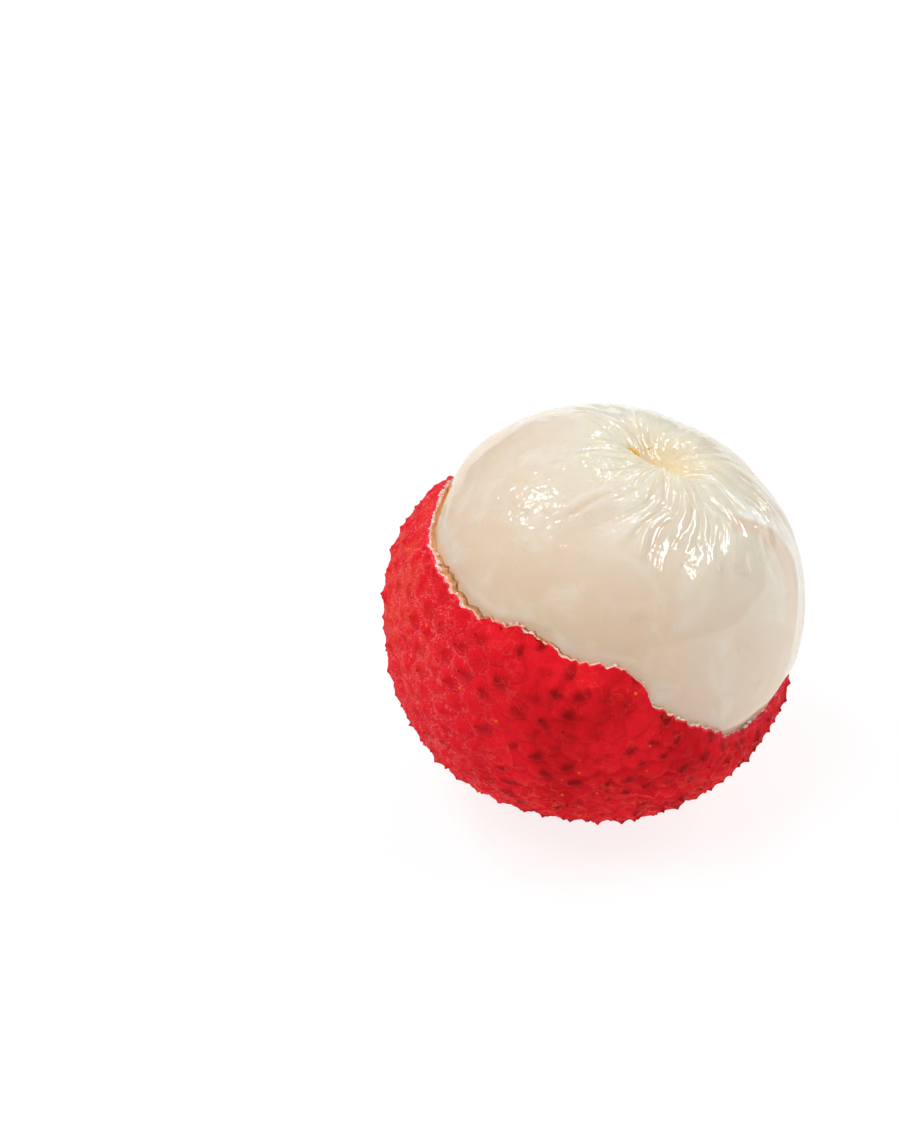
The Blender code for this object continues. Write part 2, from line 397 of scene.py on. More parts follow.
def foldIn(bm):  # the thickness of the torn edge, then the lining down to the bottom of the cup
    pith, toTip, membraneAndGlow, torn = (bm.verts.layers.float[name] for name in ("pith", "toTip", "membraneAndGlow", "torn"))
    rim = [edge for edge in bm.edges if edge.is_boundary]
    outer = {vert: vert.co.copy() for edge in rim for vert in edge.verts}
    crest = []
    leftWhite, rightWhite = rindLook["whiteFrom"]
    leftEnd, rightEnd = rindLook["whiteTo"]
    rows = [(*row, 0) for row in rindLook["edgeRows"]]
    rows += [(1.0, 0, 0, down) for down in rindLook["liningRows"]]
    for share, rise, climb, down in rows:
        made = bmesh.ops.extrude_edge_only(bm, edges=rim)["geom"]
        rim = [item for item in made if isinstance(item, bmesh.types.BMEdge)]
        fresh = [item for item in made if isinstance(item, bmesh.types.BMVert)]
        above = {}
        for vert in fresh:
            beside = (edge.other_vert(vert) for edge in vert.link_edges)
            start = outer[next(other for other in beside if other in outer)]
            bearing, drop = tearPlace(start)
            length = start.length
            rightward = facingShare(bearing, *rindLook["rightSide"])
            leftward = facingShare(bearing, *rindLook["leftSide"])
            whiteFrom = leftWhite + (rightWhite - leftWhite) * rightward
            whiteFrom += rindLook["whiteUneven"] * noise.noise(start * 800)
            whiteTo = leftEnd + (rightEnd - leftEnd) * rightward
            white = smoothStep(whiteFrom, whiteFrom + 0.15, share)
            if down:
                spot = tearDirection(bearing, drop + (rindLook["liningEnd"] - drop) * (down / 90))
                vert.co = spot * innerRadius(spot)
            else:
                grainy = noise.noise(start * 3100 + Vector((0, 0, 9 * share)))
                crumb = rindLook["edgeCrumbs"] * share * grainy * (1 - smoothStep(0.5, 0.8, share))
                least, left, right = rindLook["creep"]
                creep = least + left * leftward + right * rightward
                creep *= 1 + rindLook["creepUneven"] * noise.noise(start * 350)
                risen = rise * mm + creep * climb + crumb
                spot = tearDirection(bearing, drop - math.degrees(risen / length))
                inside = plainFleshRadius(spot) + rindLook["lip"]
                vert.co = spot * (length + (inside - length) * share + crumb * 0.4 * (share < 1))
                if whiteFrom < share < whiteFrom + 0.4:
                    crest.append(vert.co.copy())
            vert[pith] = white
            # the tan-orange band next to the flesh: the inner membrane's colour, with painted light as if
            # coming through the flesh
            vert[membraneAndGlow] = smoothStep(whiteTo - 0.1, whiteTo + 0.1, share) * (0.45 + 0.55 * leftward)
            vert[torn] = 1.0
            vert[toTip] = 0.3
            above[vert] = start
        outer = above
    bottom = bmesh.ops.edgenet_fill(bm, edges=rim)["faces"]
    bmesh.ops.poke(bm, faces=bottom)
    return crest


def scatterCrumbs(bm, crest):  # white grains along the torn edge, in clusters
    pith = bm.verts.layers.float["pith"]
    draw = random.Random(rindLook["crumbSeed"])
    smallest, largest = rindLook["crumbSize"]
    for _ in range(rindLook["looseCrumbs"]):
        spot = draw.choice(crest)
        if noise.noise(spot * 400) + draw.uniform(-0.15, 0.15) < 0.05:
            continue
        size = smallest + (largest - smallest) * draw.random() ** 3
        shift = Vector([draw.uniform(-0.1, 0.1) * mm for _ in range(3)]) - spot.normalized() * size * 0.5
        turn = Matrix.Rotation(draw.uniform(0, 6), 4, "X") @ Matrix.Rotation(draw.uniform(0, 6), 4, "Z")
        stretch = Matrix.Diagonal((1, draw.uniform(0.5, 1), draw.uniform(0.6, 1.5), 1))
        place = Matrix.Translation(spot + shift) @ turn @ stretch
        for vert in bmesh.ops.create_icosphere(bm, subdivisions=1, radius=size, matrix=place)["verts"]:
            vert.co += noise.noise_vector(vert.co * 9000) * size * 0.6
            vert[pith] = 1


def makeRind():
    bm = roughCup()
    placeSkin(bm)
    setEdge(bm)
    crest = foldIn(bm)
    bmesh.ops.recalc_face_normals(bm, faces=bm.faces)
    scatterCrumbs(bm, crest)
    for vert in bm.verts:
        vert.co += centre
        vert.co.z = max(vert.co.z, 0)
    return newPiece("tornRind", bm)


rind = makeRind()

print("flesh")
fleshLook = {
    "segments": 420,
    "rings": 228,
    "crowding": 1.35,  # rings lie closer together towards the dimple
    "folds": (0.34 * mm, 0.3 * mm),  # broad, middling
    "foldReach": (1.2 * mm, 3.2 * mm, 9.5 * mm, 14.0 * mm),  # where they start, are whole, thin out and end
    "foldFacing": (34, 0.45),  # the bearing where they are strongest, and how strong behind
    "swirl": 0.25,
    "wander": 0.16,
    "sheet": 0.1 * mm,  # a loose film over the right side
    "sheetOut": (6.5 * mm, 9 * mm),  # how far out it starts
    # the bearings where the film, its white edge with a painted highlight, the clearer band before it and the
    # calm one under it start, are whole, thin out and end
    "sheetBearings": (57, 64, 78, 100),
    "sheetWhiteAndHighlight": (60, 62, 62, 78),
    "sheetClear": (42, 54, 58, 60),
    "sheetCalm": (36, 52, 58, 70),
    "sheetTurn": (30, 6 * mm, 11.6 * mm),  # how far its edge swings round on the way out
    "sheetBack": (0.5, 13 * mm, 17.3 * mm),  # and the share by which it swings back after that
    # wet ripples, in millimetres: the middle of each spot, how far they stay whole and where they end
    "rippled": [((-4.4, -6.3, 33.8), 4.5, 8.5), ((1.5, -3.8, 35.5), 2.0, 5.0), ((6.6, 0.9, 33.6), 1.6, 4.0)],
    # the rolled edge of what was pulled off with the rind: its height, degrees over the tear, wander, width
    "roll": (0.12 * mm, 4.2, 1.6, 0.9),
    "rollSide": (-75, -0.2, 0.6),
    "sunkReach": 3.0 * mm,  # how far out the dimple's own colour goes
}
fleshUpright = Matrix(axisFrame(fruit["stemAxis"])).transposed()


def smoothFlesh(polar, bearing):
    radius = fruit["fleshRadius"]
    out, up = radius * math.sin(polar), radius * math.cos(polar)
    if polar < math.pi / 2:
        crownDepth, crownReach = fruit["crownDip"]
        turn = bearing - math.radians(fruit["dimpleBearing"])
        along, across = out * math.cos(turn), -out * math.sin(turn)
        width = fruit["dimpleNear"] if across > 0 else fruit["dimpleFar"]
        up -= crownDepth * math.exp(-((out / crownReach) ** 2))
        depth = math.exp(-((along / fruit["dimpleLength"]) ** 2) - (across / width) ** 2)
        up -= fruit["dimpleDepth"] * depth
    return Vector((out * math.cos(bearing), out * math.sin(bearing), up))


def turnedBearing(out, bearing):  # stays the same all along a fold
    swirl = fleshLook["swirl"] * math.log(max(out, 0.5 * mm) / (3 * mm))
    spot = Vector((out * math.cos(bearing), out * math.sin(bearing), 0))
    return bearing + swirl + fleshLook["wander"] * noise.noise(spot * 240) * smoothStep(1 * mm, 6 * mm, out)


def foldHeight(polar, bearing):
    if polar > math.pi / 2:
        return 0.0, 0.0
    out = fruit["fleshRadius"] * math.sin(polar)
    facing, behind = fleshLook["foldFacing"]
    turned = turnedBearing(out, bearing)
    ray = Vector((math.cos(turned), math.sin(turned), 0))
    spot = Vector((out * math.cos(bearing), out * math.sin(bearing), 7 * mm))
    broad = noise.noise(ray * 2.3 + Vector((0, 0, out * 170)))
    middling = abs(noise.noise(ray * 5.5 + Vector((0, 0, 5 + out * 150)))) * 2 - 0.5
    side = behind + (1 - behind) * smoothStep(-0.1, 0.8, math.cos(bearing - math.radians(facing)))
    patchy = 0.35 + 0.65 * smoothStep(-0.25, 0.2, noise.noise(spot * 330))
    fade = band(out, *fleshLook["foldReach"]) * side
    broadHeight, middlingHeight = fleshLook["folds"]
    return fade * (broadHeight * broad + middlingHeight * middling * patchy), fade


def sheetBearing(polar, bearing):
    out = fruit["fleshRadius"] * math.sin(min(polar, math.pi / 2))
    turn, start, end = fleshLook["sheetTurn"]
    back, backStart, backEnd = fleshLook["sheetBack"]
    turn *= smoothStep(start, end, out) * (1 - back * smoothStep(backStart, backEnd, out))
    return math.degrees(bearing) - turn + 4 * noise.noise(Vector((polar, 3, out * 180))), out


def sheetShare(polar, bearing):
    turned, out = sheetBearing(polar, bearing)
    lines = 0.12 * noise.noise(Vector((turned * 0.35, 0, out * 90)))
    return band(turned, *fleshLook["sheetBearings"]) * smoothStep(*fleshLook["sheetOut"], out) * (0.8 + lines)


def sheetColours(polar, bearing):  # white along the sheet's edge, partly the film's paler colour and partly a painted highlight, and a clearer band before it
    turned, out = sheetBearing(polar, bearing)
    along = smoothStep(*fleshLook["sheetOut"], out) * (1 - 0.5 * smoothStep(13 * mm, 17 * mm, out))
    white = band(turned, *fleshLook["sheetWhiteAndHighlight"]) * along
    return white - band(turned, *fleshLook["sheetClear"]) * along


def sheetCalm(polar, bearing):  # the strands fade out before the sheet
    turned, out = sheetBearing(polar, bearing)
    return band(turned, *fleshLook["sheetCalm"]) * smoothStep(*fleshLook["sheetOut"], out)


def rippledShare(point):
    spots = fleshLook["rippled"]
    return max(1 - smoothStep(near, far, (point / mm - Vector(spot)).length) for spot, near, far in spots)


def fleshPoint(polar, bearing):
    point = fleshUpright @ smoothFlesh(polar, bearing) + fruit["fleshShift"]
    direction = point.normalized()
    folds, folded = foldHeight(polar, bearing)
    free = point.length + fleshUnevenness(direction) + folds
    free += fleshLook["sheet"] * sheetShare(polar, bearing)
    over = overTear(direction)
    radius = pressedRadius(free, direction)
    tearBearing, _ = tearPlace(direction)
    height, middle, wander, width = fleshLook["roll"]
    middle += wander * noise.noise(direction * 6)
    height *= facingShare(tearBearing, *fleshLook["rollSide"])
    radius += height * math.exp(-(((over - middle) / width) ** 2))
    return direction * radius, over, folded


def makeFlesh():
    deselectAll()
    bpy.ops.mesh.primitive_uv_sphere_add(
        segments=fleshLook["segments"], ring_count=fleshLook["rings"], radius=1, location=(0, 0, 0)
    )
    obj = bpy.context.object
    obj.name = obj.data.name = "peeledFlesh"
    masks, flow = {}, []
    for vert in obj.data.vertices:
        start = vert.co.normalized()
        polar = math.pi * (start.angle(Vector((0, 0, 1))) / math.pi) ** fleshLook["crowding"]
        bearing = math.atan2(start.y, start.x)
        out = fruit["fleshRadius"] * math.sin(polar)
        turned = turnedBearing(out, bearing)
        point, over, fade = fleshPoint(polar, bearing)
        vert.co = centre + point
        here = {
            "bare": over,
            "sunk": math.exp(-((out / fleshLook["sunkReach"]) ** 2)) if polar < 1 else 0,
            "folded": fade,
            "sheet": sheetColours(polar, bearing),
            "calm": sheetCalm(polar, bearing),
            "rippled": rippledShare(vert.co),
        }
        for name, value in here.items():
            masks.setdefault(name, []).append(value)
        flow += [math.cos(turned) * 10, math.sin(turned) * 10, polar * 4]
    for name, values in masks.items():
        obj.data.attributes.new(name, "FLOAT", "POINT").data.foreach_set("value", values)
    obj.data.attributes.new("flow", "FLOAT_VECTOR", "POINT").data.foreach_set("vector", flow)
    for face in obj.data.polygons:
        face.use_smooth = True
    return obj


flesh = makeFlesh()

print("fibres")
fibreLook = {
    "seed": 4,
    "tuft": (22, -2.6 * mm, -0.1 * mm, 0.55 * mm),  # how many, where along and across the dimple, spread
    "strays": [(3, -1.7 * mm, -1.7 * mm, 0.15 * mm), (5, 0.1 * mm, 0.2 * mm, 0.3 * mm)],
    "length": (0.35 * mm, 0.95 * mm),
    "thickness": (0.03 * mm, 0.075 * mm),
    "lift": 0.05 * mm,
    "rings": 6,
    "corners": 5,
}


def dimplePoint(along, across):
    bearing = math.radians(fruit["dimpleBearing"]) + math.atan2(-across, along)
    polar = math.asin(min(0.9, math.hypot(along, across) / fruit["fleshRadius"]))
    return fleshPoint(polar, bearing)[0]


def makeFibres():
    draw = random.Random(fibreLook["seed"])
    bm = bmesh.new()
    tint = bm.verts.layers.float.new("tint")
    up = fruit["stemAxis"]
    steps, corners = fibreLook["rings"], fibreLook["corners"]
    for count, along, across, spread in [fibreLook["tuft"], *fibreLook["strays"]]:
        for _ in range(count):
            startAlong = along + draw.gauss(0, spread * 0.6)
            startAcross = across + draw.gauss(0, spread * 0.45)
            length = draw.uniform(*fibreLook["length"]) * min(1, spread / (0.3 * mm))
            turn = draw.gauss(0.35, 0.5)
            thick = draw.uniform(*fibreLook["thickness"])
            shade = draw.random()
            rings = []
            for step in range(steps):
                share = step / (steps - 1)
                reach = length * share
                angle = turn + 0.8 * math.sin(share * 3 + shade * 6)  # each one curls
                endAlong = startAlong + reach * math.cos(angle)
                base = dimplePoint(endAlong, startAcross + reach * math.sin(angle))
                middle = base + up * (fibreLook["lift"] + 0.16 * mm * math.sin(share * 3.1) * shade)
                width = thick * (1 - share * 0.85)
                if step == 0:
                    side = up.cross(base).normalized()
                else:
                    side = (middle - last).normalized().cross(up).normalized()
                last = middle
                ring = []
                for corner in range(corners):
                    around = corner * 2 * math.pi / corners
                    offset = side * math.cos(around) * width + up * math.sin(around) * width * 0.6
                    vert = bm.verts.new(centre + middle + offset)
                    vert[tint] = shade
                    ring.append(vert)
                rings.append(ring)
            for lower, upper in zip(rings, rings[1:]):
                for corner in range(corners):
                    beside = (corner + 1) % corners
                    bm.faces.new((lower[corner], lower[beside], upper[beside], upper[corner]))
            bm.faces.new(rings[0])
            bm.faces.new(rings[-1])
    bmesh.ops.recalc_face_normals(bm, faces=bm.faces)
    return newPiece("stemFibres", bm)


fibres = makeFibres()

print("materials")


def newMaterial(name):
    made = bpy.data.materials.new(name)
    made.use_nodes = True
    return made, made.node_tree, made.node_tree.nodes["Principled BSDF"]


def feed(tree, socket, value):
    if isinstance(value, bpy.types.NodeSocket):
        tree.links.new(value, socket)
    else:
        socket.default_value = value


def fillIn(tree, node, values):
    for name, value in values.items():
        feed(tree, node.inputs[name], value)


def colour(red, green, blue):  # from everyday 0 to 255 values
    def linear(value):
        value /= 255
        return value / 12.92 if value <= 0.04045 else ((value + 0.055) / 1.055) ** 2.4

    return (linear(red), linear(green), linear(blue), 1)


def attribute(tree, name, output="Fac"):
    node = tree.nodes.new("ShaderNodeAttribute")
    node.attribute_name = name
    return node.outputs[output]


def noiseValue(tree, vector, scale, detail=3.0, roughness=0.55, distortion=0.0, output="Fac"):
    node = tree.nodes.new("ShaderNodeTexNoise")
    fillIn(tree, node, {
        "Vector": vector,
        "Scale": scale,
        "Detail": detail,
        "Roughness": roughness,
        "Distortion": distortion,
    })
    return node.outputs[output]


def voronoi(tree, vector, scale, feature="F1"):
    node = tree.nodes.new("ShaderNodeTexVoronoi")
    node.feature = feature
    fillIn(tree, node, {"Vector": vector, "Scale": scale})
    return node.outputs


def ramp(tree, value, low, high, bottom=0.0, top=1.0):  # smooth between low and high
    node = tree.nodes.new("ShaderNodeMapRange")
    node.interpolation_type = "SMOOTHSTEP"
    for index, given in enumerate((value, low, high, bottom, top)):
        feed(tree, node.inputs[index], given)
    return node.outputs[0]


def between(tree, share, first, second):  # a number that goes from one value to the other
    return ramp(tree, share, 0, 1, first, second)


def calc(tree, operation, first, second=0.0):
    node = tree.nodes.new("ShaderNodeMath")
    node.operation = operation
    feed(tree, node.inputs[0], first)
    feed(tree, node.inputs[1], second)
    return node.outputs[0]


def times(tree, product, *factors):
    for factor in factors:
        product = calc(tree, "MULTIPLY", product, factor)
    return product


def plus(tree, total, *parts):
    for part in parts:
        total = calc(tree, "ADD", total, part)
    return total


def centred(tree, value):  # a noise that runs below and above 0 leaves no step where its mask ends
    return calc(tree, "SUBTRACT", value, 0.5)


def vectorCalc(tree, operation, *given, output="Vector"):
    node = tree.nodes.new("ShaderNodeVectorMath")
    node.operation = operation
    for index, value in enumerate(given):
        feed(tree, node.inputs[index], value)
    return node.outputs[output]


def axesOf(tree, place):
    node = tree.nodes.new("ShaderNodeSeparateXYZ")
    tree.links.new(place, node.inputs[0])
    return node.outputs["X"], node.outputs["Y"], node.outputs["Z"]


def blend(tree, share, first, second):
    node = tree.nodes.new("ShaderNodeMix")
    node.data_type = "RGBA"
    for index, value in ((0, share), (6, first), (7, second)):
        feed(tree, node.inputs[index], value)
    return node.outputs[2]


def bumpFrom(tree, height, distance, strength=1.0):
    node = tree.nodes.new("ShaderNodeBump")
    feed(tree, node.inputs["Height"], height)
    node.inputs["Distance"].default_value = distance
    node.inputs["Strength"].default_value = strength
    return node.outputs[0]


def inMillimetres(tree):
    coords = tree.nodes.new("ShaderNodeTexCoord")
    mapping = tree.nodes.new("ShaderNodeMapping")
    mapping.inputs["Scale"].default_value = (1000, 1000, 1000)
    tree.links.new(coords.outputs["Object"], mapping.inputs["Vector"])
    return mapping.outputs[0]


def patchesGroup():  # an effect that all the fruit's materials share: soft patches of noise, as a mask
    group = bpy.data.node_groups.new("softPatches", "ShaderNodeTree")
    for name in ("Scale", "Low", "High", "Warp"):
        group.interface.new_socket(name=name, in_out="INPUT", socket_type="NodeSocketFloat")
    group.interface.new_socket(name="Mask", in_out="OUTPUT", socket_type="NodeSocketFloat")
    entry, leave = group.nodes.new("NodeGroupInput"), group.nodes.new("NodeGroupOutput")
    given = entry.outputs
    value = noiseValue(group, inMillimetres(group), given["Scale"], 4, 0.6, given["Warp"])
    group.links.new(ramp(group, value, given["Low"], given["High"]), leave.inputs["Mask"])
    return group


softPatches = patchesGroup()


def patches(tree, scale, low, high, warp=0.0):  # scale in patches to the millimetre
    node = tree.nodes.new("ShaderNodeGroup")
    node.node_tree = softPatches
    fillIn(tree, node, {"Scale": scale, "Low": low, "High": high, "Warp": warp})
    return node.outputs["Mask"]


rindFinish = {
    "bright": colour(236, 30, 42),
    "deep": colour(206, 24, 31),
    "paintedShadeMaroon": colour(126, 12, 16),
    "pink": colour(236, 32, 50),
    "grain": colour(252, 140, 138),
    "blushAndLight": colour(240, 84, 58),
    "net": colour(252, 82, 62),
    "paleNet": colour(250, 112, 112),
    "speck": colour(246, 128, 40),
    "tip": colour(70, 24, 14),
    "pith": colour(255, 238, 232),
    "lining": colour(240, 186, 172),
    "film": colour(246, 226, 200),
    "membraneAndGlow": colour(242, 172, 116),
    "torn": colour(246, 52, 70),
    "roughness": (0.4, 0.62),
    "wetter": 0.25,  # how much smoother the torn edge is
    "gloss": 0.02,
    "coat": (0.5, 0.12),  # juice on the torn edge: how much, and its roughness
    "bump": (0.1 * mm, 0.8),
    "subsurface": (0.08, (1.0, 0.2, 0.15), 0.8 * mm),  # how much, its reach in each colour, and in all
}


def plateColour(tree, place, near, tone, grit, paleAndLitSide):
    base = blend(tree, patches(tree, 0.17, 0.38, 0.62), rindFinish["deep"], rindFinish["bright"])
    # lighter red towards the left: painted light
    base = blend(tree, times(tree, paleAndLitSide, 0.85), base, rindFinish["bright"])
    base = blend(tree, times(tree, ramp(tree, tone, 0.45, 0.95), 0.4), base, rindFinish["deep"])
    # each plate's border is paler and grainy, its middle smooth, and the side away from the light darkened
    # with painted shade
    border = ramp(tree, plus(tree, near, times(tree, centred(tree, grit), 0.7)), 0.75, 0.2)
    grainy = times(tree, border, patches(tree, 2.2, 0.36, 0.56), between(tree, paleAndLitSide, 0.08, 0.6))
    base = blend(tree, grainy, base, rindFinish["pink"])
    along, _, height = axesOf(tree, place)
    # orange on the upper left: partly the skin's own tint, partly painted light
    blushAndLight = times(tree, ramp(tree, along, -12.0, -16.5), ramp(tree, height, 14.0, 22.0))
    blushAndLight = times(tree, blushAndLight, patches(tree, 0.6, 0.42, 0.6), 0.45)
    base = blend(tree, blushAndLight, base, rindFinish["blushAndLight"])
    grains = ramp(tree, plus(tree, grit, times(tree, grainy, 0.2)), 0.62, 0.72)
    base = blend(tree, times(tree, grains, between(tree, paleAndLitSide, 0.06, 0.55)), base, rindFinish["grain"])
    rough = times(tree, centred(tree, noiseValue(tree, place, 1.1, 4, 0.6)), 0.9)
    # painted shade on the side of each point away from the light, weaker on the lighter left
    shaded = ramp(tree, plus(tree, attribute(tree, "paintedShade"), rough), 0.0, 1.0)
    return blend(tree, times(tree, shaded, between(tree, paleAndLitSide, 0.8, 0.2)), base, rindFinish["paintedShadeMaroon"])


def plateLines(tree, base, place, near, wobble, paleAndLitSide, lower):
    # thin pale lines run along the borders, broken, and between them
    net = blend(tree, paleAndLitSide, rindFinish["net"], rindFinish["paleNet"])
    seam = ramp(tree, plus(tree, near, wobble), between(tree, paleAndLitSide, 0.055, 0.085), 0.01)
    strength = between(tree, calc(tree, "MAXIMUM", lower, paleAndLitSide), 0.25, 0.55)
    base = blend(tree, times(tree, seam, patches(tree, 0.55, 0.46, 0.6), strength), base, net)
    bend = noiseValue(tree, place, 0.9, 2, 0.5, output="Color")
    bent = vectorCalc(tree, "MULTIPLY_ADD", bend, (2.2, 2.2, 2.2), place)
    vein = ramp(tree, voronoi(tree, bent, 0.75, "DISTANCE_TO_EDGE")["Distance"], 0.05, 0.015)
    vein = times(tree, vein, patches(tree, 0.3, 0.47, 0.62), between(tree, lower, 0.3, 0.8))
    return blend(tree, vein, base, net)


def plateMarks(tree, base, place, near, tone, paleAndLitSide):  # orange specks, and brown tips on some points
    dots = voronoi(tree, place, 0.7)
    chosen = tree.nodes.new("ShaderNodeSeparateColor")
    tree.links.new(dots["Color"], chosen.inputs[0])
    few = ramp(tree, chosen.outputs[0], 0.78, 0.82)
    dot = times(tree, ramp(tree, dots["Distance"], 0.13, 0.05), few, 0.8)
    base = blend(tree, dot, base, rindFinish["speck"])
    some = ramp(tree, tone, 0.7, 0.84)
    tip = times(tree, ramp(tree, near, 0.82, 0.97), some, between(tree, paleAndLitSide, 0.85, 0.5))
    return blend(tree, tip, base, rindFinish["tip"])


def tornColour(tree, base, torn, pith, wobble):
    base = blend(tree, times(tree, torn, 0.8), base, rindFinish["torn"])
    # the band where the edge meets the flesh: the inner membrane's tan-orange, brightened with painted light
    # coming through the flesh
    membraneAndGlow = attribute(tree, "membraneAndGlow")
    white = blend(tree, patches(tree, 1.8, 0.42, 0.6), rindFinish["lining"], rindFinish["pith"])
    white = blend(tree, ramp(tree, membraneAndGlow, 0.1, 0.45), white, rindFinish["film"])
    white = blend(tree, ramp(tree, membraneAndGlow, 0.5, 1.0), white, rindFinish["membraneAndGlow"])
    return blend(tree, ramp(tree, plus(tree, pith, times(tree, wobble, 3.0)), 0.4, 0.62), base, white)


def rindMaterial():
    made, tree, shader = newMaterial("lycheeSkin")
    place = inMillimetres(tree)
    near, tone, pith, torn = (attribute(tree, name) for name in ("toTip", "tone", "pith", "torn"))
    along, _, height = axesOf(tree, place)
    paleAndLitSide = ramp(tree, along, -3.0, -16.0)  # paler and grainier towards the left, and painted lighter there as if lit from the left
    lower = ramp(tree, height, 17.0, 4.0)
    grit = noiseValue(tree, place, 7.0, 3, 0.65)
    wobble = times(tree, centred(tree, grit), 0.16)
    base = plateColour(tree, place, near, tone, grit, paleAndLitSide)
    base = plateLines(tree, base, place, near, wobble, paleAndLitSide, lower)
    base = plateMarks(tree, base, place, near, tone, paleAndLitSide)
    dull = between(tree, patches(tree, 0.8, 0.35, 0.65), *rindFinish["roughness"])
    coat, coatRoughness = rindFinish["coat"]
    bumpHeight = plus(tree, grit, noiseValue(tree, place, 2.6, 3))
    subsurface, reaches, reach = rindFinish["subsurface"]
    fillIn(tree, shader, {
        "Base Color": tornColour(tree, base, torn, pith, wobble),
        "Roughness": calc(tree, "SUBTRACT", dull, times(tree, torn, rindFinish["wetter"])),
        "Specular IOR Level": rindFinish["gloss"],
        "Coat Weight": times(tree, ramp(tree, torn, 0.75, 1.0), ramp(tree, pith, 0.6, 0.2), coat),
        "Coat Roughness": coatRoughness,
        "Normal": bumpFrom(tree, bumpHeight, *rindFinish["bump"]),
        "Subsurface Weight": subsurface,
        "Subsurface Radius": reaches,
        "Subsurface Scale": reach,
    })
    return made


fleshFinish = {
    "cream": colour(226, 222, 203),
    "shade": colour(203, 184, 160),
    "milk": colour(229, 216, 197),
    "tan": colour(227, 202, 175),
    "amber": colour(243, 214, 160),
    "cloud": colour(238, 233, 220),
    "white": colour(248, 245, 238),
    "crease": colour(208, 190, 160),
    "film": colour(216, 162, 112),
    "roughness": (0.02, 0.06),
    "gloss": 0.2,
    "ior": 1.4,
    "coatRoughness": 0.01,
    "bump": 0.5 * mm,
    "rimSubsurface": (0.0, 6.0, 0.1, 1.0),  # degrees over the tear from and to, and the share at each
    "subsurface": ((1.0, 0.8, 0.55), 4 * mm),  # its reach in each colour, and in all
}


def facets(tree, flow):  # the wet film lies in small plates along the folds, each tilted its own way
    cells = voronoi(tree, flow, 0.6)
    away = vectorCalc(tree, "SUBTRACT", flow, cells["Position"])
    tilt = vectorCalc(tree, "SUBTRACT", cells["Color"], (0.5, 0.5, 0.5))
    return vectorCalc(tree, "DOT_PRODUCT", away, tilt, output="Value")


def fleshColour(tree, place, flow, bare, sunk, folded):
    broad = noiseValue(tree, place, 0.12, 3)
    # tan near the rind and cream towards the top: painted shade, with a painted warm bounce from the rind
    rise = ramp(tree, plus(tree, bare, times(tree, broad, 30)), 12.0, 60.0)
    base = blend(tree, rise, fleshFinish["tan"], fleshFinish["milk"])
    top = ramp(tree, plus(tree, bare, times(tree, broad, 24)), 44.0, 84.0)
    base = blend(tree, top, base, fleshFinish["cream"])
    clouds = patches(tree, 0.22, 0.46, 0.7, 0.6)
    base = blend(tree, times(tree, clouds, 0.4), base, fleshFinish["cloud"])
    streak = ramp(tree, noiseValue(tree, flow, 0.35, 4, 0.6), 0.5, 0.75)
    base = blend(tree, times(tree, streak, between(tree, folded, 0.1, 0.35)), base, fleshFinish["cloud"])
    folds = calc(tree, "ABSOLUTE", centred(tree, noiseValue(tree, place, 0.14, 3, 0.5, 0.8)))
    crease = times(tree, ramp(tree, folds, 0.035, 0.0), patches(tree, 0.25, 0.5, 0.65), 0.3)
    base = blend(tree, crease, base, fleshFinish["crease"])
    base = blend(tree, times(tree, sunk, 0.75), base, fleshFinish["amber"])
    sheet = attribute(tree, "sheet")  # above 0 where the loose film is white, partly with a painted highlight, and below where it is clear
    strokes = ramp(tree, noiseValue(tree, flow, 2.2, 2, 0.5), 0.35, 0.6, 0.35, 0.95)
    base = blend(tree, times(tree, ramp(tree, sheet, 0, 1), strokes), base, fleshFinish["white"])
    base = blend(tree, ramp(tree, sheet, 0, -1, 0, 0.75), base, fleshFinish["tan"])
    across, deep, _ = axesOf(tree, place)
    behind = ramp(tree, plus(tree, across, deep), 9.0, 20.0, 0, 0.8)
    behind = times(tree, behind, ramp(tree, sheet, 0, 0.6, 1, 0.3))
    base = blend(tree, behind, base, fleshFinish["shade"])
    # tan on the flesh next to the rind: the membrane's colour on the left, painted shade on the right
    edge = ramp(tree, plus(tree, bare, times(tree, broad, 2.0)), 4.6, 1.2)
    left = ramp(tree, across, -2.0, -12.0, 0.1, 0.4)
    right = ramp(tree, across, 7.0, 11.0, 0, 0.25)
    return blend(tree, times(tree, edge, plus(tree, left, right)), base, fleshFinish["film"])


def wetHeight(tree, place, flow, sunk, folded):
    # tilted plates and fine strands in the folds, and ripples in spots
    calm = between(tree, attribute(tree, "calm"), 1, 0.15)
    plated = times(tree, ramp(tree, folded, 0.1, 0.8), ramp(tree, sunk, 0.1, 0.6, 1, 0.2), calm)
    uneven = between(tree, patches(tree, 0.35, 0.42, 0.6), 0.24, 0.5)
    strands = times(tree, centred(tree, noiseValue(tree, flow, 1.25, 1.5, 0.5)), plated, uneven)
    wavy = between(tree, attribute(tree, "rippled"), 0.04, 0.33)
    ripple = times(tree, centred(tree, noiseValue(tree, place, 1.25, 1.6, 0.5)), wavy)
    return plus(tree, times(tree, facets(tree, flow), plated, 0.5), strands, ripple)


